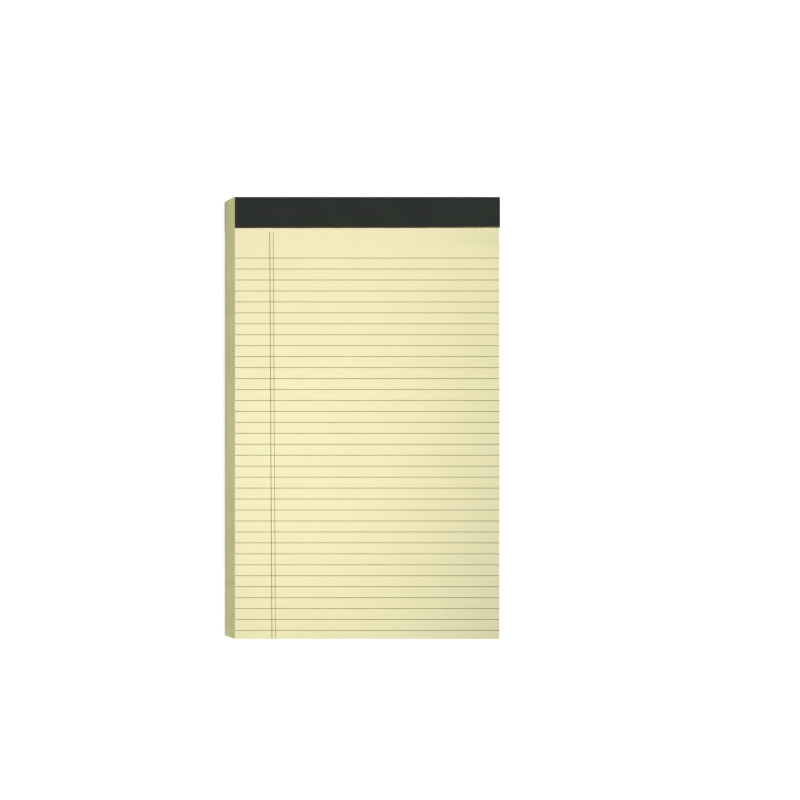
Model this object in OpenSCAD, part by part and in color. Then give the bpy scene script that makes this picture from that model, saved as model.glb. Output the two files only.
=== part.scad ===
// Legal pad lying on its back: ruled sheets on a backing board, stapled at the head and bound with a folded tape.
// X runs across the page, +Y points to the bound head and +Z points up out of the writing face.
// The origin is the middle of the pad's footprint, on the surface that the pad lies on. Sizes are in millimetres.

/* [Sheets] */
// Width of a sheet, from its left edge to its right edge
sheet_w = 212.7; // [120:0.1:300]
// Length of a sheet, from its foot to its head
sheet_l = 355.6; // [180:0.1:500]
// Number of sheets in the block
sheet_count = 50; // [20:1:120]
// Thickness of one sheet with the air beside it
sheet_t = 0.13; // [0.08:0.005:0.2]

/* [Ruled lines] */
// Bare space between the tape and the first ruled line
rule_head = 24; // [6:0.1:80]
// Distance from one ruled line to the next
rule_pitch = 8.82; // [5:0.01:20]
// Least bare space between the last ruled line and the foot
rule_foot = 4; // [1:0.1:60]
// Width of a ruled line
rule_w = 0.4; // [0.2:0.05:1]
// Thickness of the printed ink
ink_t = 0.03; // [0.02:0.005:0.1]

/* [Margin lines] */
// From the left edge of the sheets to the middle of the first margin line, at its upper end
margin_x = 27.9; // [10:0.1:70]
// Distance between the two margin lines, middle to middle
margin_pitch = 2.8; // [1.2:0.1:10]
// Bare space between the tape and the upper end of the margin lines
margin_head = 3.3; // [0.5:0.1:5.5]
// Lean of the margin lines to the right on their way to the foot, in degrees
margin_lean = 0.31; // [0:0.01:1]
// Width of a margin line
margin_w = 0.4; // [0.2:0.05:1]

/* [Backing board] */
// Thickness of the backing board
board_t = 1.2; // [0.8:0.05:3]

/* [Binding tape] */
// Thickness of the tape
tape_t = 0.3; // [0.15:0.01:0.6]
// Reach of the tape down the front of the pad
tape_front = 25.2; // [17:0.1:50]
// Reach of the tape down the back of the pad
tape_back = 24; // [17:0.1:50]
// How far the tape runs past the right edge of the sheets
tape_over = 0.2; // [0:0.1:2]
// How deep the tape is pressed into the sheets and the board
tape_bite = 0.1; // [0.05:0.01:0.13]
// Inside radius of the two folds round the head
fold_r = 0.6; // [0.2:0.05:0.65]

/* [Staples] */
// Number of staples along the head
staple_count = 3; // [2:1:4]
// From the side of the sheets to the middle of the outer staples
staple_edge = 36; // [10:0.5:40]
// From the head of the sheets to the staples
staple_inset = 10; // [4:0.5:15]
// Width of a staple over its two legs
crown_w = 12.7; // [8:0.1:18]
// Diameter of the staple wire
wire_d = 0.6; // [0.4:0.05:0.8]
// Bend radius at the middle of the wire
bend_r = 0.65; // [0.5:0.05:0.7]
// Gap between the two clinched ends
clinch_gap = 2.5; // [1:0.1:5]
// Clearance round the staple wire
staple_clear = 0.05; // [0.02:0.01:0.1]

/* [Hidden] */
$fn = 48;

// Colours
sheet_colour = [0.94, 0.92, 0.74];
board_colour = [0.78, 0.76, 0.62];
tape_colour = [0.18, 0.19, 0.18];
wire_colour = [0.75, 0.76, 0.77];
rule_colour = [0.48, 0.46, 0.33];
margin_colour = [0.46, 0.42, 0.30];

// Heights, from the surface that the pad lies on
block_t = sheet_count * sheet_t;
z_join = tape_t - tape_bite + board_t;
z_face = z_join + block_t;
z_front_seat = z_face - tape_bite;
z_back_seat = tape_t;

// Places in the plan
pad_w = sheet_w + tape_over;
pad_l = sheet_l + tape_t;
x_left = -pad_w / 2;
y_foot = -pad_l / 2;
y_head = y_foot + sheet_l;
y_tape = pad_l / 2 - tape_front;
y_margin = y_tape - margin_head;
y_first_rule = y_tape - rule_head;

// Ruling
rule_count = floor((y_first_rule - y_foot - rule_foot) / rule_pitch) + 1;
margin_drift = (y_margin - y_foot) * tan(margin_lean);

// Staple wire
wire_r = wire_d / 2;
leg_x = (crown_w - wire_d) / 2;
crown_half = leg_x - bend_r;
z_crown = z_front_seat - staple_clear - wire_r;
z_clinch = z_back_seat + staple_clear + wire_r;
staple_pitch = (sheet_w - 2 * staple_edge) / (staple_count - 1);

// A section drawn with its length along Y and its height along Z, drawn out across the pad
module across(width) {
    translate([x_left, y_foot, z_join])
        rotate([90, 0, 90])
            linear_extrude(width)
                children();
}

// Section of the sheets or the board, from their common face at zero to the face that the tape's flap presses
module pressed_section(thick, flap) {
    difference() {
        square([sheet_l, thick]);
        translate([pad_l - flap, thick - tape_bite])
            square([flap, tape_t]);
        translate([sheet_l - fold_r, thick - tape_bite - fold_r])
            difference() {
                square(fold_r + tape_t);
                circle(fold_r);
            }
    }
}

// Section of half the tape: up the head from the common face, round the fold and down to the flap's edge
module tape_section(thick, flap) {
    fold_z = thick - tape_bite - fold_r;
    translate([sheet_l, 0])
        square([tape_t, fold_z]);
    translate([sheet_l - fold_r, fold_z])
        intersection() {
            square(fold_r + tape_t);
            difference() {
                circle(fold_r + tape_t);
                circle(fold_r);
            }
        }
    translate([pad_l - flap, thick - tape_bite])
        square([flap - tape_t - fold_r, tape_t]);
}

// A quarter bend of wire from the leg, at +X of the bend's centre, to the crown, at +Z of it
module wire_bend(radius) {
    rotate([90, 0, 0])
        rotate_extrude(angle = 90)
            translate([bend_r, 0])
                circle(radius);
}

// One staple about the middle of its crown, with the wire grown all round by a clearance
module staple(grow = 0) {
    radius = wire_r + grow;
    clinch_start = clinch_gap / 2 - grow;
    translate([-crown_half, 0, z_crown])
        rotate([0, 90, 0])
            cylinder(r = radius, h = 2 * crown_half);
    for (side = [0, 1])
        mirror([side, 0, 0]) {
            translate([crown_half, 0, z_crown - bend_r])
                wire_bend(radius);
            translate([leg_x, 0, z_clinch + bend_r])
                cylinder(r = radius, h = z_crown - z_clinch - 2 * bend_r);
            translate([crown_half, 0, z_clinch + bend_r])
                mirror([0, 0, 1])
                    wire_bend(radius);
            translate([clinch_start, 0, z_clinch])
                rotate([0, 90, 0])
                    cylinder(r = radius, h = crown_half - clinch_start);
        }
}

// The way that a staple takes through sheets and board, open to the tape above the crown and below the clinch
module staple_way() {
    staple(grow = staple_clear);
    translate([-leg_x, -wire_r, z_crown])
        cube([2 * leg_x, wire_d, wire_d + tape_t]);
    for (side = [0, 1])
        mirror([side, 0, 0])
            translate([clinch_gap / 2, -wire_r, z_clinch - wire_d - tape_t])
                cube([leg_x - clinch_gap / 2, wire_d, wire_d + tape_t]);
}

// Its children, once at each staple's place
module at_staples() {
    for (i = [0 : staple_count - 1])
        translate([x_left + staple_edge + i * staple_pitch, y_head - staple_inset, 0])
            children();
}

// One margin line from its upper end to the foot, with its middle at x there
module margin_line(x, z_low, z_high) {
    translate([x_left + x - margin_w / 2, 0, z_low])
        linear_extrude(z_high - z_low)
            polygon([
                [0, y_margin],
                [margin_w, y_margin],
                [margin_w + margin_drift, y_foot],
                [margin_drift, y_foot]
            ]);
}

module page_block() {
    color(sheet_colour)
        difference() {
            across(sheet_w) pressed_section(block_t, tape_front);
            at_staples() staple_way();
        }
}

module backing_board() {
    color(board_colour)
        difference() {
            across(sheet_w) mirror([0, 1]) pressed_section(board_t, tape_back);
            at_staples() staple_way();
        }
}

module binding_tape() {
    color(tape_colour)
        across(pad_w) {
            tape_section(block_t, tape_front);
            mirror([0, 1]) tape_section(board_t, tape_back);
        }
}

module staples() {
    color(wire_colour)
        at_staples() staple();
}

module ruled_lines() {
    color(rule_colour)
        difference() {
            for (i = [0 : rule_count - 1])
                translate([x_left, y_first_rule - i * rule_pitch - rule_w / 2, z_face])
                    cube([sheet_w, rule_w, ink_t]);
            for (i = [0, 1])
                margin_line(margin_x + i * margin_pitch, z_face - ink_t, z_face + 2 * ink_t);
        }
}

module margin_lines() {
    color(margin_colour)
        for (i = [0, 1])
            margin_line(margin_x + i * margin_pitch, z_face, z_face + ink_t);
}

page_block();
backing_board();
binding_tape();
staples();
ruled_lines();
margin_lines();
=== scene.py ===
"""Looks of a legal pad that lies on its back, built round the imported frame.

Lengths are in metres. X runs across the page, +Y points to the bound head and +Z points up out of the
writing face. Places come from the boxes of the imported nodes, and only what those boxes can't tell is a
named value here.
"""

import logging
import math
from abc import ABC, abstractmethod
from dataclasses import dataclass
from enum import Enum, IntEnum
from typing import Any, ClassVar

import bpy
import numpy as np
from mathutils import Matrix, Vector


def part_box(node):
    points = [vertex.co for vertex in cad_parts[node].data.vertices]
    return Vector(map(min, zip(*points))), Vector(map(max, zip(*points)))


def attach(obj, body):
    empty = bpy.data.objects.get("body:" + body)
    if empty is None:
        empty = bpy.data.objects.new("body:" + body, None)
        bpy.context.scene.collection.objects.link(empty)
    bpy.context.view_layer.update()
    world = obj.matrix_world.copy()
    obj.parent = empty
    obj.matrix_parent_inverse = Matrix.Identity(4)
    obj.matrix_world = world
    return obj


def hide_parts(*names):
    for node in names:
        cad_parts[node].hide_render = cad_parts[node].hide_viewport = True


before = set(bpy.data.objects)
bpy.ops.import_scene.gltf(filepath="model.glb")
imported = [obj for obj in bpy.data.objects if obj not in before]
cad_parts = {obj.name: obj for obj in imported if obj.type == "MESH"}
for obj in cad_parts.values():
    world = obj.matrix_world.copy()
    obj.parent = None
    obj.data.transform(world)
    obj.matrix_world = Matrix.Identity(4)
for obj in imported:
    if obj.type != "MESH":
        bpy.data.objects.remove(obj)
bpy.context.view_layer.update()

MM = 0.001
BODY = "root"
WEAR_AND_SHADE_MARK = "rub"
LOG = logging.getLogger("legal_pad")

Colour = tuple[float, float, float, float]
Triple = tuple[float, float, float]
Pair = tuple[float, float]
Numbers = tuple[float, ...]
Array = np.ndarray
Material = bpy.types.Material
Socket = bpy.types.NodeSocket
Outputs = bpy.types.bpy_prop_collection
Looks = tuple[Socket, Socket, Socket]


class Node(Enum):
    """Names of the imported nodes."""

    PAGE_BLOCK = "page_block"
    BACKING_BOARD = "backing_board"
    BINDING_TAPE = "binding_tape"
    STAPLES = "staples"
    RULED_LINES = "ruled_lines"
    MARGIN_LINES = "margin_lines"


class Slot(Enum):
    """Names of the material slots that the built pieces take."""

    SHEET_PAPER = "sheet_paper"
    CHIPBOARD = "chipboard"
    TAPE_PAPER = "tape_paper"
    RULE_INK = "rule_ink"
    MARGIN_INK = "margin_ink"


class Part(IntEnum):
    """Numbers of a piece's materials, by what they cover."""

    FACE = 0
    EDGE = 1


class Trim(IntEnum):
    """The trimmed edges of a sheet."""

    LEFT = 0
    RIGHT = 1
    FOOT = 2


def shade(*levels: int) -> Colour:
    """Turn a colour as it looks on screen into the linear colour that a shader takes.

    Args:
        levels: Red, green and blue as seen, from 0 to 255.

    Returns:
        The linear colour with full alpha.
    """
    knee, slope, offset, power = 0.04045, 12.92, 0.055, 2.4

    def linear(part: float) -> float:
        """Undo the screen's transfer curve for one channel."""
        return part / slope if part <= knee else ((part + offset) / (1 + offset)) ** power

    red, green, blue = (linear(level / 255) for level in levels)
    return red, green, blue, 1.0


def ease(part: Array) -> Array:
    """Smooth step from 0 to 1, held at both ends."""
    held = np.clip(part, 0, 1)
    return held * held * (3 - 2 * held)


def waves(x: Array, parts: tuple[Pair, ...]) -> Array:
    """Product of sine waves, each with its radians to the metre and its phase."""
    return math.prod(np.sin(turns * x + phase) for turns, phase in parts)


def points(x: Array, y: Array, z: Array) -> Array:
    """Put places and heights that share one grid together as points."""
    return np.stack(np.broadcast_arrays(x, y, z), axis=-1)


def put(name: str, data: bpy.types.ID | None) -> bpy.types.Object:
    """Put a new object into the scene.

    Args:
        name: Name of the object.
        data: Its mesh, light or camera, or nothing for an empty.

    Returns:
        The object.
    """
    item = bpy.data.objects.new(name, data)
    bpy.context.scene.collection.objects.link(item)
    return item


@dataclass(frozen=True)
class PadSizes:
    """Places and thicknesses of the pad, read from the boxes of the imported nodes."""

    left: float
    right: float
    foot: float
    head: float
    join: float
    face: float
    tape_edge: float
    tape_right: float
    tape_t: float
    bite: float
    fold_r: float = 0.6 * MM
    back_reach: float = 24 * MM

    @classmethod
    def from_frame(cls) -> "PadSizes":
        """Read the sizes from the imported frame.

        Returns:
            The pad's sizes.
        """
        block_low, block_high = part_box(Node.PAGE_BLOCK.value)
        tape_low, tape_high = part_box(Node.BINDING_TAPE.value)
        tape_t = tape_high.y - block_high.y
        return cls(
            left=block_low.x,
            right=block_high.x,
            foot=block_low.y,
            head=block_high.y,
            join=block_low.z,
            face=block_high.z,
            tape_edge=tape_low.y,
            tape_right=tape_high.x,
            tape_t=tape_t,
            bite=tape_t - (tape_high.z - block_high.z),
        )

    @property
    def front_seat(self) -> float:
        """Height of the sheets where the tape's front flap presses them."""
        return self.face - self.bite

    @property
    def back_seat(self) -> float:
        """Height of the board where the tape's back flap presses it."""
        return self.tape_t

    @property
    def back_edge(self) -> float:
        """Place of the back flap's edge along the pad."""
        return self.head + self.tape_t - self.back_reach

    @property
    def fold(self) -> float:
        """Place along the pad where the flaps end and the folds start."""
        return self.head - self.fold_r


class Slabs:
    """A mesh in the making, as closed slabs that each lie between two grids of points."""

    def __init__(self) -> None:
        """Start with no slab."""
        self.points: list[Array] = []
        self.faces: list[Array] = []
        self.slots: list[Array] = []
        self.rubs: list[Array] = []
        self.count = 0

    def add(
        self,
        outer: Array,
        inner: Array,
        outer_slots: int | Array = Part.FACE,
        edge_slot: int = Part.FACE,
        rub: float | Array = 0.0,
    ) -> None:
        """Add one closed slab.

        Args:
            outer: Points of the outer face by row and column, whose rows turn left from its columns.
            inner: Points of the inner face, as many as the outer face has.
            outer_slots: Material number of the outer face, or one number for each strip between two rows.
            edge_slot: Material number of the four edges.
            rub: How worn the outer face is, or on the sheets how much painted shade it takes, from 0 to 1,
                or one value for each of its points.
        """
        rows, columns = outer.shape[:2]
        top = np.arange(rows * columns).reshape(rows, columns) + self.count
        below = rows * columns
        strips = np.broadcast_to(outer_slots, rows - 1)
        wear = np.broadcast_to(rub, (rows, columns)).reshape(-1)
        self._quads(top, np.repeat(strips, columns - 1))
        self._quads(top[:, ::-1] + below, np.full((rows - 1) * (columns - 1), strips[(rows - 1) // 2]))
        loop = np.concatenate([top[0, :-1], top[:-1, -1], top[-1, :0:-1], top[:0:-1, 0]])
        ahead = np.roll(loop, -1)
        self.faces.append(np.stack([loop + below, ahead + below, ahead, loop], axis=1))
        self.slots.append(np.full(len(loop), edge_slot))
        self.points += [outer.reshape(-1, 3), inner.reshape(-1, 3)]
        self.rubs += [wear, wear]
        self.count += 2 * below

    def _quads(self, index: Array, slots: Array) -> None:
        """Add the faces between the rows and columns of a grid.

        Args:
            index: Point numbers of the grid.
            slots: Material number of each face.
        """
        corners = [index[:-1, :-1], index[:-1, 1:], index[1:, 1:], index[1:, :-1]]
        self.faces.append(np.stack([corner.reshape(-1) for corner in corners], axis=1))
        self.slots.append(slots)

    def build(self, name: str, materials: list[Material], sharp_deg: float) -> bpy.types.Object:
        """Make the object.

        Args:
            name: Name of the piece.
            materials: Its materials, by number.
            sharp_deg: Edges that turn by more than this stay sharp.

        Returns:
            The new object, in the scene.
        """
        mesh = bpy.data.meshes.new(name)
        mesh.from_pydata(np.concatenate(self.points).tolist(), [], np.concatenate(self.faces).tolist())
        for material in materials:
            mesh.materials.append(material)
        slots = np.concatenate(self.slots).astype(np.int32)
        mesh.polygons.foreach_set("material_index", slots)
        mesh.polygons.foreach_set("use_smooth", np.ones(len(slots), dtype=bool))
        wear = mesh.attributes.new(WEAR_AND_SHADE_MARK, "FLOAT", "POINT")
        wear.data.foreach_set("value", np.concatenate(self.rubs).astype(np.float32))
        mesh.set_sharp_from_angle(angle=math.radians(sharp_deg))
        mesh.update()
        return put(name, mesh)


@dataclass(frozen=True)
class Skin:
    """Least and most roughness of a surface, the strength and depth of its relief, its gloss and metal."""

    smooth: float
    rough: float
    relief: float
    depth: float
    gloss: float
    metal: float = 0.0


class NodeBoard:
    """A shader node tree with short calls to add, set and join its nodes."""

    mix_first: ClassVar[int] = 6
    mix_second: ClassVar[int] = 7
    mix_result: ClassVar[int] = 2

    def __init__(self, tree: bpy.types.NodeTree) -> None:
        """Work on a node tree."""
        self.tree = tree

    @classmethod
    def for_material(cls, name: str) -> tuple[Material, "NodeBoard"]:
        """Make an empty material.

        Args:
            name: Name of the material.

        Returns:
            The material and the board of its nodes.
        """
        material = bpy.data.materials.new(name)
        material.use_nodes = True
        material.node_tree.nodes.clear()
        return material, cls(material.node_tree)

    @classmethod
    def for_group(cls, name: str, inputs: list[str], outputs: list[str]) -> "NodeBoard":
        """Make an empty node group.

        Args:
            name: Name of the group.
            inputs: Its number inputs, which each material sets.
            outputs: Its number outputs.

        Returns:
            The board of the group's nodes.
        """
        tree = bpy.data.node_groups.new(name, "ShaderNodeTree")
        for way, titles in (("INPUT", inputs), ("OUTPUT", outputs)):
            for title in titles:
                tree.interface.new_socket(title, in_out=way, socket_type="NodeSocketFloat")
        return cls(tree)

    def add(self, kind: str, inputs: dict[Any, Any] | None = None, **settings: Any) -> bpy.types.Node:
        """Add a node.

        Args:
            kind: Blender's name of the node type, without a leading "ShaderNode".
            inputs: Sockets by name or number, each with a value or with the output that feeds it.
            settings: The node's own settings.

        Returns:
            The new node.
        """
        node = self.tree.nodes.new(kind if kind.startswith("Node") else "ShaderNode" + kind)
        for title, value in settings.items():
            setattr(node, title, value)
        for title, value in (inputs or {}).items():
            if isinstance(value, Socket):
                self.tree.links.new(value, node.inputs[title])
            else:
                node.inputs[title].default_value = value
        return node

    def math(self, operation: str, first: Any, second: Any) -> Socket:
        """Add a math node and give its output."""
        return self.add("Math", {0: first, 1: second}, operation=operation).outputs[0]

    def weigh(self, first: Any, second: Any, share: float) -> Socket:
        """Add two values up, of which the first counts for a share and the second for the rest."""
        rest = self.math("MULTIPLY", second, 1 - share)
        return self.math("ADD", self.math("MULTIPLY", first, share), rest)

    def spread(self, value: Any, low: float, high: float, start: float = 0.0, end: float = 1.0) -> Socket:
        """Stretch a value that runs from start to end so that it runs from low to high."""
        inputs = {"Value": value, "From Min": start, "From Max": end, "To Min": low, "To Max": high}
        return self.add("MapRange", inputs).outputs["Result"]

    def mask(self, value: Any, start: float, end: float) -> Socket:
        """Make a mask that rises from 0 to 1 while a value runs from start to end."""
        return self.spread(value, 0.0, 1.0, start, end)

    def blend(self, factor: Any, first: Any, second: Any) -> Socket:
        """Blend two colours and give the result."""
        inputs = {0: factor, self.mix_first: first, self.mix_second: second}
        return self.add("Mix", inputs, data_type="RGBA").outputs[self.mix_result]

    def noise(self, scale: Any, detail: float = 2.0, stretch: Triple | None = None) -> Socket:
        """Add a noise texture in the object's own metres.

        Args:
            scale: Grains to the metre.
            detail: How many finer layers it has.
            stretch: Factors along the axes, if the grains are drawn out.

        Returns:
            The noise, from 0 to 1.
        """
        place = self.add("TexCoord").outputs["Object"]
        if stretch is not None:
            place = self.add("Mapping", {"Vector": place, "Scale": stretch}).outputs[0]
        return self.add("TexNoise", {"Vector": place, "Scale": scale, "Detail": detail}).outputs[0]

    def use(self, group: bpy.types.NodeTree, inputs: dict[str, Any]) -> Outputs:
        """Place a node group and give its outputs."""
        return self.add("Group", inputs, node_tree=group).outputs

    def bump(self, height: Any, strength: float, distance: float) -> Socket:
        """Add a bump node and give its normal."""
        return self.add("Bump", {"Height": height, "Strength": strength, "Distance": distance}).outputs[0]

    def surface(self, colour: Socket, rough: Socket, relief: Socket, skin: Skin) -> None:
        """End a material in a Principled BSDF.

        Args:
            colour: Its base colour.
            rough: What its roughness follows, from 0 to 1.
            relief: Height of its relief.
            skin: How rough, deep, glossy and metallic it is.
        """
        shader = self.add("BsdfPrincipled", {
            "Base Color": colour,
            "Metallic": skin.metal,
            "Roughness": self.spread(rough, skin.smooth, skin.rough),
            "Normal": self.bump(relief, skin.relief, skin.depth),
            "Specular IOR Level": skin.gloss,
        })
        self.add("OutputMaterial", {"Surface": shader.outputs[0]})


class Effects:
    """Node groups of the effects that several finishes share."""

    along_stretch: ClassVar[Triple] = (0.18, 1.0, 1.0)
    across_stretch: ClassVar[Triple] = (1.0, 0.25, 1.0)
    tone_range: ClassVar[Pair] = (0.3, 0.7)
    speck_range: ClassVar[Pair] = (0.35, 0.65)

    def __init__(self) -> None:
        """Build each group once."""
        self.fibres = self._fibres()
        self.rub = self._rub()

    def _fibres(self) -> bpy.types.NodeTree:
        """Matted paper fibres: a tone that clouds and flecks, and the height of the fibres.

        Returns:
            The node group.
        """
        inputs = ["Fibre Scale", "Cloud Scale", "Fibre Share"]
        board = NodeBoard.for_group("paper_fibres", inputs, ["Tone", "Height"])
        given = board.add("NodeGroupInput").outputs
        fine = board.noise(given["Fibre Scale"], detail=3.0)
        along = board.noise(given["Fibre Scale"], detail=1.0, stretch=self.along_stretch)
        across = board.noise(given["Fibre Scale"], detail=1.0, stretch=self.across_stretch)
        cloud = board.noise(given["Cloud Scale"], detail=4.0)
        matted = board.weigh(fine, board.math("MAXIMUM", along, across), share=0.5)
        fibre_part = board.math("MULTIPLY", matted, given["Fibre Share"])
        cloud_part = board.math("MULTIPLY", cloud, board.math("SUBTRACT", 1.0, given["Fibre Share"]))
        tone = board.mask(board.math("ADD", fibre_part, cloud_part), *self.tone_range)
        board.add("NodeGroupOutput", {"Tone": tone, "Height": matted})
        return board.tree

    def _rub(self) -> bpy.types.NodeTree:
        """Rubbed places and patches of painted shade: a mask that breaks up, down to an even share, where a
        surface is marked.

        Returns:
            The node group.
        """
        board = NodeBoard.for_group("edge_rub_and_shade", ["Rub", "Scale", "Reach", "Even"], ["Mask"])
        given = board.add("NodeGroupInput").outputs
        speck = board.mask(board.noise(given["Scale"], detail=4.0), *self.speck_range)
        worn = board.math("MULTIPLY", given["Rub"], board.math("MAXIMUM", speck, given["Even"]))
        board.add("NodeGroupOutput", {"Mask": board.math("MULTIPLY", worn, given["Reach"])})
        return board.tree


@dataclass(frozen=True)
class Grain:
    """Fibres and clouds to the metre in a paper's tone, and the share that the fibres have in it."""

    fibres: float
    clouds: float
    share: float


@dataclass(frozen=True)
class WearAndShade:
    """Colour of a rubbed place or of a patch of painted shade, specks to the metre in it, how far it
    reaches, and its even share.
    """

    colour: Colour
    scale: float
    reach: float
    even: float = 0.0


@dataclass(frozen=True)
class Fleck:
    """Colour of scattered flecks, their noise to the metre, its stretch, and where in it they show."""

    colour: Colour
    scale: float
    stretch: Triple
    shown: Pair


@dataclass(frozen=True)
class PaperFinish:
    """Paper or board: fibres set its tone, roughness and relief, and it may have flecks and marked places,
    which show wear on tape and board and painted shade on the sheets.
    """

    name: str
    dark: Colour
    light: Colour
    grain: Grain
    skin: Skin
    flecks: tuple[Fleck, ...] = ()
    wear: WearAndShade | None = None

    def layers(self, board: NodeBoard, fibres: Outputs) -> Looks:
        """Give what the colour, the roughness and the relief follow, which is the fibres alone."""
        return fibres["Tone"], fibres["Height"], fibres["Height"]

    def make(self, effects: Effects) -> Material:
        """Make the material.

        Args:
            effects: The shared effects.

        Returns:
            The material.
        """
        material, board = NodeBoard.for_material(self.name)
        grain, wear = self.grain, self.wear
        inputs = {"Fibre Scale": grain.fibres, "Cloud Scale": grain.clouds, "Fibre Share": grain.share}
        fibres = board.use(effects.fibres, inputs)
        tone, rough, relief = self.layers(board, fibres)
        colour = board.blend(tone, self.dark, self.light)
        for fleck in self.flecks:
            spots = board.mask(board.noise(fleck.scale, stretch=fleck.stretch), *fleck.shown)
            colour = board.blend(spots, colour, fleck.colour)
        # Marked places take the wear colour: real wear on tape and board, painted shade over the dent on
        # the sheets.
        if wear is not None:
            marked = board.add("Attribute", attribute_name=WEAR_AND_SHADE_MARK).outputs["Fac"]
            inputs = {"Rub": marked, "Scale": wear.scale, "Reach": wear.reach, "Even": wear.even}
            colour = board.blend(board.use(effects.rub, inputs)["Mask"], colour, wear.colour)
        board.surface(colour, rough, relief, self.skin)
        return material


@dataclass(frozen=True)
class SheetFinish(PaperFinish):
    """Yellow writing paper: matted fibres, a soft cloudy tone, hardly any gloss, and a darker patch of
    painted shade over the dent beside the tape.
    """

    name: str = "sheet_paper"
    dark: Colour = shade(244, 237, 191)
    light: Colour = shade(250, 243, 197)
    grain: Grain = Grain(fibres=2600.0, clouds=60.0, share=0.7)
    skin: Skin = Skin(smooth=0.82, rough=0.95, relief=0.3, depth=0.03 * MM, gloss=0.15)
    # Painted shade: this darker colour over the dent beside the tape stands in for the dent's shade.
    wear: WearAndShade = WearAndShade(shade(230, 227, 178), scale=38.0, reach=0.55, even=0.5)


@dataclass(frozen=True)
class ShadedCutEdgeFinish(PaperFinish):
    """Trimmed sheet edges: a darker, greener yellow that is partly painted shade of the stacked sides, and
    whose tone changes from sheet to sheet and in broader bands.
    """

    name: str = "shaded_sheet_edges"
    # Partly painted shade: these edge colours are darker and greener than the sheet paper, standing in for
    # the shade along and between the stacked sheets.
    dark: Colour = shade(203, 205, 147)
    light: Colour = shade(237, 239, 180)
    grain: Grain = Grain(fibres=3200.0, clouds=60.0, share=0.6)
    skin: Skin = Skin(smooth=0.85, rough=0.97, relief=0.4, depth=0.04 * MM, gloss=0.1)
    sheet_scale: float = 7600.0
    band_scale: float = 1300.0
    streak_scale: float = 12.0
    sheet_share: float = 0.4
    strata_share: float = 0.75
    tone_range: Pair = (0.3, 0.7)

    def layers(self, board: NodeBoard, fibres: Outputs) -> Looks:
        """Lay the sheets and the bands over the fibres.

        Args:
            board: The material's nodes.
            fibres: What the fibres put out.

        Returns:
            What the colour, the roughness and the relief follow.
        """
        streak = self.streak_scale
        sheets = board.noise(1.0, detail=3.0, stretch=(streak, streak, self.sheet_scale))
        bands = board.noise(1.0, detail=2.0, stretch=(streak, streak, self.band_scale))
        strata = board.weigh(sheets, bands, self.sheet_share)
        mixed = board.weigh(strata, fibres["Tone"], self.strata_share)
        return board.mask(mixed, *self.tone_range), fibres["Height"], sheets


@dataclass(frozen=True)
class TapeFinish(PaperFinish):
    """Dark binding tape: paper pressed with a fine pebble grain, rubbed paler at its folds."""

    name: str = "tape_paper"
    dark: Colour = shade(28, 32, 27)
    light: Colour = shade(37, 41, 36)
    grain: Grain = Grain(fibres=1800.0, clouds=45.0, share=0.5)
    skin: Skin = Skin(smooth=0.5, rough=0.72, relief=0.5, depth=0.06 * MM, gloss=0.06)
    wear: WearAndShade = WearAndShade(shade(84, 82, 74), scale=1100.0, reach=0.4)
    pebble_scale: float = 1500.0
    fibre_relief: float = 0.5

    def layers(self, board: NodeBoard, fibres: Outputs) -> Looks:
        """Press the pebbles into the fibres.

        Args:
            board: The material's nodes.
            fibres: What the fibres put out.

        Returns:
            What the colour, the roughness and the relief follow.
        """
        inputs = {"Vector": board.add("TexCoord").outputs["Object"], "Scale": self.pebble_scale}
        pebbles = board.add("TexVoronoi", inputs, feature="SMOOTH_F1").outputs["Distance"]
        pressed = board.math("ADD", pebbles, board.math("MULTIPLY", fibres["Height"], self.fibre_relief))
        return fibres["Tone"], pressed, pressed


@dataclass(frozen=True)
class TapeCoreFinish(PaperFinish):
    """Cut edge of the tape, where its brown base paper shows, frayed paler at one end."""

    name: str = "tape_core"
    dark: Colour = shade(47, 37, 25)
    light: Colour = shade(64, 50, 33)
    grain: Grain = Grain(fibres=2400.0, clouds=120.0, share=0.6)
    skin: Skin = Skin(smooth=0.8, rough=0.95, relief=0.4, depth=0.03 * MM, gloss=0.1)
    wear: WearAndShade = WearAndShade(shade(152, 136, 104), scale=900.0, reach=1.0)


@dataclass(frozen=True)
class BoardFinish(PaperFinish):
    """Straw-coloured chipboard: coarse fibre with dark and pale flecks, furry and paler at its edges."""

    name: str = "chipboard"
    dark: Colour = shade(199, 196, 157)
    light: Colour = shade(219, 218, 179)
    grain: Grain = Grain(fibres=1100.0, clouds=35.0, share=0.6)
    skin: Skin = Skin(smooth=0.85, rough=0.98, relief=0.6, depth=0.08 * MM, gloss=0.1)
    flecks: tuple[Fleck, ...] = (
        Fleck(shade(122, 112, 86), scale=850.0, stretch=(0.4, 1.0, 1.0), shown=(0.66, 0.72)),
        Fleck(shade(232, 228, 200), scale=700.0, stretch=(1.0, 0.4, 1.0), shown=(0.67, 0.74)),
    )
    wear: WearAndShade = WearAndShade(shade(229, 230, 190), scale=700.0, reach=0.8)


@dataclass(frozen=True)
class InkFinish(PaperFinish):
    """Printed ink on paper: light where it missed the fibres, and uneven along the line."""

    grain: Grain = Grain(fibres=3000.0, clouds=55.0, share=0.45)
    skin: Skin = Skin(smooth=0.65, rough=0.85, relief=0.2, depth=0.02 * MM, gloss=0.15)


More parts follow.
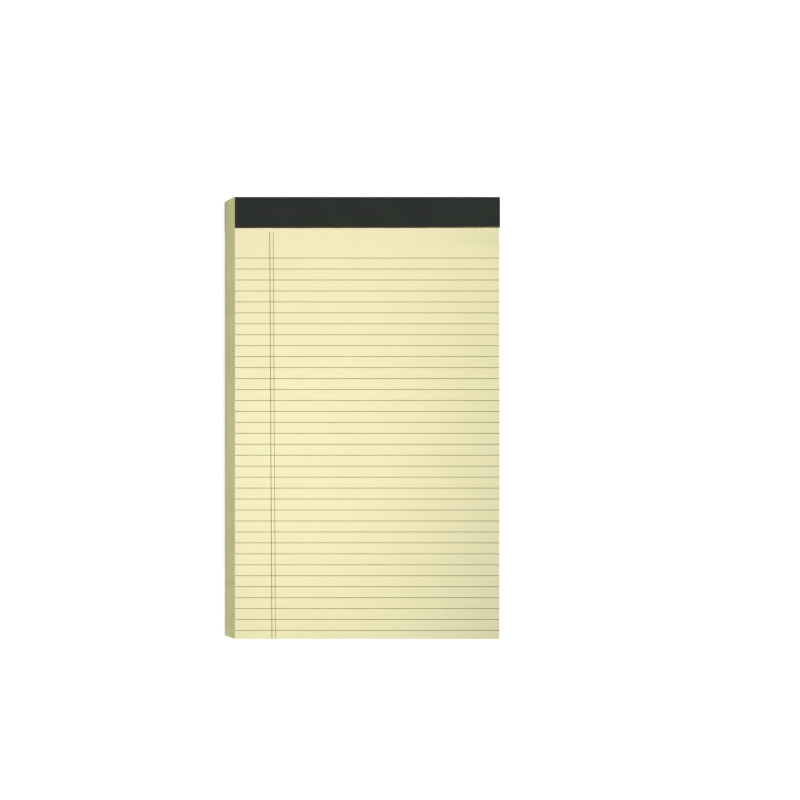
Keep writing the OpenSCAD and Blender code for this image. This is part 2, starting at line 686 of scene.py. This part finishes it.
@dataclass(frozen=True)
class WireFinish:
    """Drawn steel wire: bright metal with faint lines and dull patches."""

    name: str = "staple_wire"
    bright: Colour = shade(205, 206, 208)
    dull: Colour = shade(160, 160, 158)
    patch_scale: float = 400.0
    line_stretch: Triple = (300.0, 9000.0, 9000.0)
    skin: Skin = Skin(smooth=0.25, rough=0.45, relief=0.15, depth=0.01 * MM, gloss=0.5, metal=1.0)

    def make(self) -> Material:
        """Make the material.

        Returns:
            The material.
        """
        material, board = NodeBoard.for_material(self.name)
        lines = board.noise(1.0, detail=3.0, stretch=self.line_stretch)
        colour = board.blend(board.noise(self.patch_scale, detail=3.0), self.dull, self.bright)
        board.surface(colour, lines, lines, self.skin)
        return material


class Piece(ABC):
    """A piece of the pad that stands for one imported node."""

    title: ClassVar[str]
    node: ClassVar[Node]
    slot: ClassVar[Slot]
    finishes: ClassVar[tuple[PaperFinish, ...]]
    sharp_deg: ClassVar[float] = 35

    @abstractmethod
    def shape(self, slabs: Slabs) -> None:
        """Shape the piece in a mesh in the making."""

    def dress(self, effects: Effects) -> list[Material]:
        """Make the piece's materials, in the order of its material numbers."""
        return [finish.make(effects) for finish in self.finishes]

    def build(self, effects: Effects) -> bpy.types.Object:
        """Shape and dress the piece and seat it in the frame.

        Args:
            effects: The shared effects.

        Returns:
            The piece.
        """
        slabs = Slabs()
        self.shape(slabs)
        piece = slabs.build(self.title, self.dress(effects), self.sharp_deg)
        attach(piece, BODY)
        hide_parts(self.node.value)
        LOG.info("%s stands for %s with %d faces", self.title, self.node.value, len(piece.data.polygons))
        return piece


@dataclass
class WritingSheets(Piece):
    """The block of sheets, each sheet a thin slab of its own with its own trimmed edge."""

    title = "writing_sheets"
    node = Node.PAGE_BLOCK
    slot = Slot.SHEET_PAPER
    finishes = (SheetFinish(), ShadedCutEdgeFinish())

    sizes: PadSizes
    sheet_count: int = 50
    least_air: float = 0.012 * MM
    most_air: float = 0.04 * MM
    trim_slip: float = 0.03 * MM
    most_slips: float = 3
    edge_wander: float = 0.02 * MM
    wander_length: float = 90 * MM
    foot_fade: int = 8
    press_run: float = 2.5 * MM
    dent_depth: float = 0.2 * MM
    dent_below_tape: float = 8 * MM
    dent_from_right: float = 12 * MM
    dent_half_width: float = 26 * MM
    dent_half_length: float = 7 * MM
    dent_power: int = 4
    wave_height: float = 0.05 * MM
    wave_start: float = 70 * MM
    wave_across: float = 19
    wave_along: float = 31
    wave_phase: float = 0.6
    bulge: float = 0.45 * MM
    bulge_below_tape: float = 15.5 * MM
    bulge_reach: float = 7 * MM
    bulged_sheets: int = 5
    fine_run: float = 26 * MM
    plain_rows: int = 14
    fine_rows: int = 21
    taped_rows: int = 5
    fine_from: float = 0.64
    plain_columns: int = 7
    fine_columns: int = 12
    seed: int = 11

    def dent_mask(self, x: Array, y: Array) -> Array:
        """How deep the thumbed dent beside the tape is.

        Args:
            x: Places across the page.
            y: Places along the page.

        Returns:
            The dent's depth there, from 0 to 1.
        """
        across = (self.sizes.right - x - self.dent_from_right) / self.dent_half_width
        along = (self.sizes.tape_edge - y - self.dent_below_tape) / self.dent_half_length
        return np.exp(-across ** self.dent_power - along ** self.dent_power)

    def thickness(self, x: Array, y: Array) -> Array:
        """Thickness of the block at places of its plan.

        Args:
            x: Places across the page.
            y: Places along the page.

        Returns:
            The block's thickness there: thinner under the tape and in the dent beside it, and wavy.
        """
        sizes = self.sizes
        below_tape = sizes.tape_edge - y
        pressed = sizes.bite * ease(1 - below_tape / self.press_run)
        dent = self.dent_depth * self.dent_mask(x, y)
        swell = np.sin(self.wave_across * x + self.wave_along * y + self.wave_phase)
        wave = self.wave_height * swell * ease(below_tape / self.wave_start)
        return sizes.face - sizes.join - pressed - dent + wave

    def rows(self) -> Array:
        """Places of the rows along the page, close together beside the tape.

        Returns:
            Distances from the foot, as a share of the sheet's length.
        """
        sizes = self.sizes
        length = sizes.head - sizes.foot
        tape = (sizes.tape_edge - sizes.foot) / length
        near = tape - self.fine_run / length
        plain = np.linspace(0, near, self.plain_rows)
        fine = np.linspace(near, tape, self.fine_rows)
        return np.concatenate([plain[:-1], fine[:-1], np.linspace(tape, 1, self.taped_rows)])

    def columns(self) -> Array:
        """Places of the columns, as a share of the page's width, close together at the right edge."""
        plain = np.linspace(0, self.fine_from, self.plain_columns)
        return np.concatenate([plain[:-1], np.linspace(self.fine_from, 1, self.fine_columns)])

    def head_inset(self, number: int) -> float:
        """How far the fold of the tape pushes a sheet's head back.

        Args:
            number: The sheet's place in the block, from the board up.

        Returns:
            The inset, which only the top sheets have.
        """
        sizes = self.sizes
        middle = number + 0.5
        below_face = (self.sheet_count - middle) / self.sheet_count * (sizes.front_seat - sizes.join)
        rise = max(sizes.fold_r - below_face, 0)
        return sizes.fold_r - math.sqrt(sizes.fold_r ** 2 - rise ** 2)

    def sheet_faces(self, number: int) -> tuple[Array, Array]:
        """Faces of one sheet.

        Args:
            number: The sheet's place in the block, from the board up.

        Returns:
            The points of its upper and its lower face, by row and column.
        """
        sizes = self.sizes
        draw = np.random.default_rng((self.seed, number))
        slip = np.abs(draw.normal(0, self.trim_slip, len(Trim))).clip(0, self.most_slips * self.trim_slip)
        phase = draw.uniform(0, 2 * math.pi, len(Trim))
        air_above, air_below = draw.uniform(self.least_air, self.most_air, 2) / 2

        def wander(edge: Trim, along: Array) -> Array:
            """Find how far an edge wanders inwards at places along it."""
            turn = 2 * math.pi / self.wander_length * along + phase[edge]
            return self.edge_wander * (1 + np.sin(turn)) / 2

        share = self.rows()[:, None]
        foot = sizes.foot + slip[Trim.FOOT]
        y = foot + share * (sizes.head - self.head_inset(number) - sizes.foot - slip[Trim.FOOT])
        below_tape = sizes.tape_edge - y
        loose = np.clip((number + 1 - self.sheet_count) / self.bulged_sheets + 1, 0, 1)
        bulge = self.bulge * loose * ease(1 - np.abs(below_tape - self.bulge_below_tape) / self.bulge_reach)
        left = sizes.left + slip[Trim.LEFT] + wander(Trim.LEFT, y)
        right = sizes.right - slip[Trim.RIGHT] - wander(Trim.RIGHT, y) + bulge
        x = left + self.columns()[None, :] * (right - left)
        y = y + wander(Trim.FOOT, x) * (1 - share) ** self.foot_fade
        thick = self.thickness(x, y)
        top_air = 0.0 if number == self.sheet_count - 1 else air_above
        high = sizes.join + thick * (number + 1) / self.sheet_count - top_air
        low = sizes.join + thick * number / self.sheet_count + air_below
        return points(x, y, high), points(x, y, low)

    def on_top(self, across: Array, along: Array) -> Array:
        """Points of the top sheet's face.

        Args:
            across: Shares of the sheet's width, from its left edge.
            along: Shares of the sheet's length, from its foot.

        Returns:
            The points, on the flat facets of the sheet's own mesh.
        """
        def cell(stops: Array, share: Array) -> tuple[Array, Array]:
            """Find the stop before each share, and how far the share lies on the way to the next."""
            number = np.clip(np.searchsorted(stops, share, side="right") - 1, 0, len(stops) - 2)
            return number, ((share - stops[number]) / (stops[number + 1] - stops[number]))[..., None]

        face, _ = self.sheet_faces(self.sheet_count - 1)
        across, along = np.broadcast_arrays(across, along)
        row, up = cell(self.rows(), along)
        column, over = cell(self.columns(), across)
        near = face[row, column] * (1 - over) + face[row, column + 1] * over
        far = face[row + 1, column] * (1 - over) + face[row + 1, column + 1] * over
        return near * (1 - up) + far * up

    def shape(self, slabs: Slabs) -> None:
        """Shape all the sheets, marking the dent beside the tape on their faces for its painted shade.

        Args:
            slabs: The mesh that takes them.
        """
        for number in range(self.sheet_count):
            high, low = self.sheet_faces(number)
            # The dent's depth marks where the sheet paper takes the dent's painted shade.
            slabs.add(high, low, Part.FACE, Part.EDGE, rub=self.dent_mask(high[..., 0], high[..., 1]))


@dataclass
class PrintedLines(Piece):
    """Lines printed on the top sheet, as films of ink that follow its face."""

    sheets: WritingSheets
    line_w: float = 0.4 * MM
    margin_pitch: float = 2.8 * MM
    film: float = 0.022 * MM
    sink: float = 0.008 * MM
    ragged: float = 0.06
    step: float = 3 * MM
    least_stops: int = 3

    def margin_middle(self, line: int, y: Array) -> Array:
        """Middle of a margin line at places along the page.

        Args:
            line: 0 for the left line and 1 for the right line.
            y: Places along the page.

        Returns:
            Places across the page, further right towards the foot because the lines lean.
        """
        low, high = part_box(Node.MARGIN_LINES.value)
        drift = high.x - low.x - self.margin_pitch - self.line_w
        fall = (high.y - y) / (high.y - low.y)
        return low.x + self.line_w / 2 + line * self.margin_pitch + drift * fall

    def stops(self, start: float, end: float, creases: Array) -> Array:
        """Places along a line where it may bend, a step apart and at the sheet's own creases."""
        even = np.linspace(start, end, max(self.least_stops, round((end - start) / self.step)))
        return np.union1d(even, creases[(creases > start) & (creases < end)])

    def half_widths(self, count: int, draw: np.random.Generator) -> Array:
        """Half the width of a line at points along it, a little ragged."""
        return self.line_w / 2 * (1 + draw.uniform(-self.ragged, self.ragged, count))

    def add_film(self, slabs: Slabs, x: Array, y: Array) -> None:
        """Add a film of ink on the top sheet.

        Args:
            slabs: The mesh that takes it.
            x: Places of its grid across the page.
            y: Places of its grid along the page.
        """
        sizes = self.sheets.sizes
        across = (x - sizes.left) / (sizes.right - sizes.left)
        along = (y - sizes.foot) / (sizes.head - sizes.foot)
        base = self.sheets.on_top(across, along)
        up = np.array([0.0, 0.0, 1.0])
        slabs.add(base + self.film * up, base - self.sink * up)


@dataclass
class RuledLines(PrintedLines):
    """The ruled lines, each broken where the margin lines cross it."""

    title = "ruled_ink"
    node = Node.RULED_LINES
    slot = Slot.RULE_INK
    finishes = (InkFinish("rule_ink", dark=shade(90, 83, 3), light=shade(130, 121, 12)),)

    rule_count: int = 35
    seed: int = 5

    def shape(self, slabs: Slabs) -> None:
        """Shape the three stretches of every ruled line.

        Args:
            slabs: The mesh that takes them.
        """
        draw = np.random.default_rng(self.seed)
        sizes = self.sheets.sizes
        low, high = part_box(self.node.value)
        creases = sizes.left + self.sheets.columns() * (sizes.right - sizes.left)
        for middle in np.linspace(high.y - self.line_w / 2, low.y + self.line_w / 2, self.rule_count):
            crossings = [self.margin_middle(line, middle) for line in (0, 1)]
            starts = [sizes.left] + [crossing + self.line_w / 2 for crossing in crossings]
            ends = [crossing - self.line_w / 2 for crossing in crossings] + [sizes.right]
            for start, end in zip(starts, ends):
                x = self.stops(start, end, creases)[None, :]
                half = self.half_widths(x.size, draw)[None, :]
                self.add_film(slabs, x, np.concatenate([middle - half, middle + half]))


@dataclass
class MarginLines(PrintedLines):
    """The two margin lines, of which the left one is the heavier."""

    title = "margin_ink"
    node = Node.MARGIN_LINES
    slot = Slot.MARGIN_INK
    finishes = (InkFinish("margin_ink", dark=shade(92, 85, 26), light=shade(130, 121, 50)),)

    left_weight: float = 1.15
    right_weight: float = 0.82
    seed: int = 6

    def shape(self, slabs: Slabs) -> None:
        """Shape both lines.

        Args:
            slabs: The mesh that takes them.
        """
        draw = np.random.default_rng(self.seed)
        sizes = self.sheets.sizes
        low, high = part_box(self.node.value)
        creases = sizes.foot + self.sheets.rows() * (sizes.head - sizes.foot)
        y = self.stops(low.y, high.y, creases)[:, None]
        for line, weight in enumerate((self.left_weight, self.right_weight)):
            middle = self.margin_middle(line, y)
            half = weight * self.half_widths(y.size, draw)[:, None]
            self.add_film(slabs, np.concatenate([middle - half, middle + half], axis=1), y)


@dataclass
class HeadTape(Piece):
    """The tape folded round the head: front flap, two folds, the spine between them and the back flap."""

    title = "head_tape"
    node = Node.BINDING_TAPE
    slot = Slot.TAPE_PAPER
    finishes = (TapeFinish(), TapeCoreFinish())

    sizes: PadSizes
    core_width: float = 1.3 * MM
    core_step: float = 0.45
    core_drop: float = 0.14 * MM
    coat_wander: float = 0.4 * MM
    coat_waves: tuple[Pair, ...] = ((58, 0.4), (23, -1.1))
    ripple_share: float = 0.3
    ripple_waves: tuple[Pair, ...] = ((141, 0),)
    fold_steps: int = 8
    flap_pitch: float = 1.6 * MM
    column_pitch: float = 2.1 * MM
    row_digits: int = 7
    staple_count: int = 3
    crown_w: float = 12.7 * MM
    ridge_height: float = 0.05 * MM
    ridge_width: float = 0.45 * MM
    ridge_end: float = 1.2 * MM
    ridge_steps: Numbers = (-2, -1.4, -0.9, -0.45, 0, 0.45, 0.9, 1.4, 2)
    cut_slant: float = 0.13 * MM
    cut_wobble: float = 0.04 * MM
    wobble_waves: tuple[Pair, ...] = ((210, 0), (67, 1))
    wobble_fade: int = 8
    fray_run: float = 70 * MM

    @property
    def core_rows(self) -> Triple:
        """Places of the cut edge's rows, from the edge."""
        return 0.0, self.core_step * self.core_width, self.core_width

    def staple_row(self) -> float:
        """Place of the staples along the pad."""
        low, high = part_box(Node.STAPLES.value)
        return (low.y + high.y) / 2

    def flap_rows(self, edge: float, dense_at: float | None) -> Array:
        """Places of a flap's rows along the pad, from its cut edge to its fold.

        Args:
            edge: Place of the flap's cut edge.
            dense_at: Where rows lie close together, if anywhere.

        Returns:
            The rows' places, in rising order.
        """
        fold = self.sizes.fold
        start = edge + self.core_width
        rows = [edge + step for step in self.core_rows]
        rows += list(np.linspace(start, fold, round((fold - start) / self.flap_pitch) + 1)[1:])
        if dense_at is not None:
            rows += [dense_at + step * self.ridge_width for step in self.ridge_steps]
        return np.unique(np.round(rows, self.row_digits))

    def half_path(self, edge: float, seat: float, up: int, dense_at: float | None) -> list[Numbers]:
        """Section of half the tape, from a flap's cut edge round its fold.

        Args:
            edge: Place of the flap's cut edge.
            seat: Height of the face that the flap lies on.
            up: 1 for the front flap and -1 for the back flap.
            dense_at: Where rows lie close together, if anywhere.

        Returns:
            For each row the outer place and height, the inner place and height, and the wear.
        """
        sizes = self.sizes
        path = []
        for y in self.flap_rows(edge, dense_at):
            drop = self.core_drop * max(0, 1 - (y - edge) / self.core_width) ** 2
            path.append((y, seat + up * (sizes.tape_t - drop), y, seat, 0.0))
        centre = np.array([sizes.fold, seat - up * sizes.fold_r])
        for step in range(1, self.fold_steps + 1):
            turn = math.pi / 2 * (1 - step / self.fold_steps)
            reach = np.array([math.cos(turn), up * math.sin(turn)])
            outer = centre + reach * (sizes.fold_r + sizes.tape_t)
            inner = centre + reach * sizes.fold_r
            path.append((*outer, *inner, math.sin(math.pi * step / (self.fold_steps + 1))))
        return path

    def ridge(self, x: Array, y: Array) -> Array:
        """Height of the low ridges that the staples' crowns press into the front flap.

        Args:
            x: Places across the pad.
            y: Places along the pad.

        Returns:
            The ridges' height there.
        """
        low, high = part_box(Node.STAPLES.value)
        middles = np.linspace(low.x + self.crown_w / 2, high.x - self.crown_w / 2, self.staple_count)
        profile = np.exp(-((y - self.staple_row()) / self.ridge_width) ** 2)
        past_end = np.abs(x[..., None] - middles).min(axis=-1) - self.crown_w / 2
        return self.ridge_height * profile * ease(1 - past_end / self.ridge_end)

    def cut_shift(self, x: Array, y: Array) -> Array:
        """How far the front flap's cut edge leaves its straight line.

        Args:
            x: Places across the pad.
            y: Places along the pad.

        Returns:
            Shifts along the pad, which fade out towards the fold.
        """
        sizes = self.sizes
        fade = np.clip((sizes.fold - y) / (sizes.fold - sizes.tape_edge), 0, 1)
        slant = self.cut_slant * (2 * (x - sizes.left) / (sizes.tape_right - sizes.left) - 1)
        wobble = self.cut_wobble * waves(x, self.wobble_waves)
        return slant * fade + wobble * fade ** self.wobble_fade

    def coat_shift(self, x: Array, row: Array) -> Array:
        """How far the border of the front flap's coat wanders, in the border's own row alone."""
        wander = waves(x, self.coat_waves) - self.ripple_share * waves(x, self.ripple_waves)
        return self.coat_wander * wander * (row == len(self.core_rows) - 1)

    def shape(self, slabs: Slabs) -> None:
        """Shape the tape as one folded strip.

        Args:
            slabs: The mesh that takes it.
        """
        sizes = self.sizes
        front = self.half_path(sizes.tape_edge, sizes.front_seat, 1, self.staple_row())
        back = self.half_path(sizes.back_edge, sizes.back_seat, -1, None)
        path = np.array(front + back[::-1])
        column_count = round((sizes.tape_right - sizes.left) / self.column_pitch)
        x = np.linspace(sizes.left, sizes.tape_right, column_count)[None, :]
        outer_y, outer_z, inner_y, inner_z, wear = (column[:, None] for column in path.T)
        row = np.arange(len(path))[:, None]
        on_front = row < len(front) - self.fold_steps
        lift = self.ridge(x, outer_y) * on_front
        shift = self.cut_shift(x, outer_y) * on_front + self.coat_shift(x, row)
        slots = np.full(len(path) - 1, Part.FACE)
        core_strips = len(self.core_rows) - 1
        slots[:core_strips] = Part.EDGE
        slots[-core_strips:] = Part.EDGE
        fray = ease(1 - (sizes.tape_right - x) / self.fray_run) * (row < core_strips)
        outer = points(x, outer_y + shift, outer_z + lift)
        inner = points(x, inner_y + shift, inner_z)
        slabs.add(outer, inner, slots, Part.EDGE, rub=wear + fray)


@dataclass
class ChipboardBack(Piece):
    """The backing board: a stiff flat slab with soft edges, pressed thinner under the tape's back flap."""

    title = "chipboard_back"
    node = Node.BACKING_BOARD
    slot = Slot.CHIPBOARD
    finishes = (BoardFinish(),)
    sharp_deg = 50

    sizes: PadSizes
    edge_r: float = 0.16 * MM
    edge_segments: int = 3
    fold_steps: int = 5
    step_run: float = 0.6 * MM
    plain_rows: int = 16
    rub_reach: float = 4 * MM
    inset_steps: Numbers = (0, 0.3, 1, 3, 10)

    def underside(self) -> Array:
        """Section of the underside, from the foot to the head and round the head's lower edge.

        Returns:
            Places along the pad and heights, by row.
        """
        sizes = self.sizes
        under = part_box(self.node.value)[0].z
        plain = np.linspace(sizes.foot, sizes.back_edge - self.step_run, self.plain_rows)
        rows = [(y, under) for y in plain]
        rows += [(sizes.back_edge, sizes.back_seat), (sizes.fold, sizes.back_seat)]
        for step in range(1, self.fold_steps + 1):
            turn = math.pi / 2 * step / self.fold_steps
            rise = sizes.fold_r * (1 - math.cos(turn))
            rows.append((sizes.fold + sizes.fold_r * math.sin(turn), sizes.back_seat + rise))
        return np.array(rows)

    def shape(self, slabs: Slabs) -> None:
        """Shape the board, rubbed along its sides and foot.

        Args:
            slabs: The mesh that takes it.
        """
        sizes = self.sizes
        section = self.underside()
        y = section[:, :1]
        inset = np.array(self.inset_steps) * self.rub_reach
        x = np.concatenate([sizes.left + inset, sizes.right - inset[::-1]])[None, :]
        from_side = np.minimum(x - sizes.left, sizes.right - x)
        rub = ease(1 - np.minimum(from_side, y - sizes.foot) / self.rub_reach)
        slabs.add(points(x, y, np.array(sizes.join)), points(x, y, section[:, 1:]), rub=rub)

    def build(self, effects: Effects) -> bpy.types.Object:
        """Build the board and soften its edges.

        Args:
            effects: The shared effects.

        Returns:
            The board.
        """
        board = super().build(effects)
        soft = board.modifiers.new("soft_edges", "BEVEL")
        soft.width = self.edge_r
        soft.segments = self.edge_segments
        soft.limit_method = "ANGLE"
        soft.angle_limit = math.radians(self.sharp_deg)
        return board


@dataclass(frozen=True)
class SoftLight:
    """A soft rectangular light that the camera doesn't see, with its width and length as its size."""

    name: str
    place: Triple
    aim: Triple
    size: Pair
    power: float

    def hang(self) -> None:
        """Hang the light, with its length as near as it goes along the pad."""
        lamp = bpy.data.lights.new(self.name, "AREA")
        lamp.shape = "RECTANGLE"
        lamp.size, lamp.size_y = self.size
        lamp.energy = self.power
        aim = (Vector(self.aim) - Vector(self.place)).normalized()
        across = aim.cross(Vector((0, 1, 0))).normalized()
        turn = Matrix((across, across.cross(aim), -aim)).transposed().to_4x4()
        holder = put(self.name, lamp)
        holder.matrix_world = Matrix.Translation(self.place) @ turn
        holder.visible_camera = False


@dataclass(frozen=True)
class Studio:
    """Plain white floor, a long strip light above the pad that leans left, and low panels round it."""

    floor_size: float = 12.0
    floor_tone: float = 0.8
    near_glow: float = 0.42
    far_glow: float = 0.93
    near_reach: float = 0.05
    far_reach: float = 0.55
    room_light: float = 0.1
    lights: tuple[SoftLight, ...] = (
        SoftLight("strip", (-0.02, 0.048, 0.405), (-0.223, 0.248, 0.0), size=(0.364, 0.724), power=1.645),
        SoftLight("left_panel", (-0.95, 0.0, 0.33), (0.0, 0.0, 0.0), size=(0.5, 0.9), power=3.3),
        SoftLight("right_panel", (0.85, -0.75, 0.22), (0.0, 0.0, 0.0), size=(0.36, 0.9), power=5.0),
        SoftLight("head_panel", (0.276, 0.617, 0.3), (0.104, 0.138, 0.0), size=(0.27, 0.27), power=1.22),
    )

    @staticmethod
    def seen_directly(board: NodeBoard) -> Socket:
        """Mask of the rays that show the backdrop itself: from the camera, or by gloss or glass.

        Args:
            board: The nodes that use the mask.

        Returns:
            The mask.
        """
        path = board.add("LightPath").outputs
        direct = board.math("MAXIMUM", path["Is Camera Ray"], path["Is Glossy Ray"])
        return board.math("MAXIMUM", direct, path["Is Transmission Ray"])

    def lay_floor(self) -> None:
        """Lay the floor, which shows white and keeps the pad's shadow where the lights reach it."""
        material, board = NodeBoard.for_material("floor_paper")
        plain = board.add("BsdfDiffuse", {"Color": (self.floor_tone, self.floor_tone, self.floor_tone, 1)})
        place = board.add("TexCoord").outputs["Object"]
        away = board.add("VectorMath", {0: place}, operation="LENGTH").outputs["Value"]
        white = board.spread(away, self.near_glow, self.far_glow, self.near_reach, self.far_reach)
        white.node.interpolation_type = "SMOOTHSTEP"
        glow = board.add("Emission", {"Strength": board.math("MULTIPLY", self.seen_directly(board), white)})
        both = board.add("AddShader", {0: plain.outputs[0], 1: glow.outputs[0]})
        board.add("OutputMaterial", {"Surface": both.outputs[0]})
        half = self.floor_size / 2
        corners = [(-half, -half, 0), (half, -half, 0), (half, half, 0), (-half, half, 0)]
        mesh = bpy.data.meshes.new("floor")
        mesh.from_pydata(corners, [], [(0, 1, 2, 3)])
        mesh.materials.append(material)
        floor = put("floor", mesh)

    def light_room(self) -> None:
        """Give the room an even light, and a white look of its own."""
        world = bpy.data.worlds.new("room")
        world.use_nodes = True
        world.node_tree.nodes.clear()
        board = NodeBoard(world.node_tree)
        strength = board.spread(self.seen_directly(board), self.room_light, 1.0)
        light = board.add("Background", {"Color": (1, 1, 1, 1), "Strength": strength})
        board.add("OutputWorld", {"Surface": light.outputs[0]})
        bpy.context.scene.world = world

    def build(self) -> None:
        """Set up the floor, the room, the lights and the view transform."""
        self.lay_floor()
        self.light_room()
        for light in self.lights:
            light.hang()
        bpy.context.scene.view_settings.view_transform = "Standard"


@dataclass(frozen=True)
class ViewCamera:
    """A view camera, whose film stays parallel to the writing face while its eye stands far to the left.

    That keeps the face a true rectangle and still shows the left side, as in the photograph. An eye that
    looks along a slanted axis at film that isn't square to that axis needs a sheared frame. A camera's own
    rotation can't hold a shear, so the stand that carries the camera holds it.

    Pixels are counted in the photograph's frame of 800 by 800, from its upper left corner.
    """

    frame_px: float = 800.0
    left_px: float = 235.0
    head_px: float = 196.6
    foot_px: float = 639.05
    eye_x_px: float = -255.0
    eye_y_px: float = 465.0
    eye_height: float = 0.371
    film_mm: float = 36.0
    clip_start: float = 10 * MM

    def build(self, sizes: PadSizes) -> None:
        """Set up the camera on its stand.

        Args:
            sizes: The pad's sizes.
        """
        head = sizes.head + sizes.tape_t
        px = (head - sizes.foot) / (self.foot_px - self.head_px)
        middle_px = self.frame_px / 2

        def on_face(across_px: float, down_px: float) -> Vector:
            """Find the point of the writing face's plane at a pixel."""
            across = sizes.left + (across_px - self.left_px) * px
            return Vector((across, head - (down_px - self.head_px) * px, sizes.face))

        eye = on_face(self.eye_x_px, self.eye_y_px) + Vector((0, 0, self.eye_height))
        axis = eye - on_face(middle_px, middle_px)
        back = axis.normalized()
        lens = bpy.data.cameras.new("camera")
        lens.sensor_width = self.film_mm
        lens.lens = self.film_mm * axis.length / (self.frame_px * px)
        lens.clip_start = self.clip_start
        camera = put("camera", lens)
        camera.parent = put("camera_stand", None)
        camera.matrix_parent_inverse = Matrix((
            (1, 0, back.x, eye.x),
            (0, 1, back.y, eye.y),
            (0, 0, back.z, eye.z),
            (0, 0, 0, 1),
        ))
        bpy.context.scene.camera = camera


def dress_staples() -> None:
    """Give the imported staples, which keep their mesh, the finish of drawn wire."""
    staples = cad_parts[Node.STAPLES.value]
    staples.data.materials.clear()
    staples.data.materials.append(WireFinish().make())
    LOG.info("%s keeps its packed mesh", staples.name)


def main() -> None:
    """Build the pad's pieces in order, then the studio and the camera."""
    logging.basicConfig(level=logging.INFO, format="%(name)s: %(message)s")
    sizes = PadSizes.from_frame()
    effects = Effects()
    sheets = WritingSheets(sizes)
    pieces: list[Piece] = [
        sheets,
        ChipboardBack(sizes),
        HeadTape(sizes),
        RuledLines(sheets),
        MarginLines(sheets),
    ]
    for piece in pieces:
        piece.build(effects)
    dress_staples()
    Studio().build()
    ViewCamera().build(sizes)


if __name__ == "__main__":
    main()
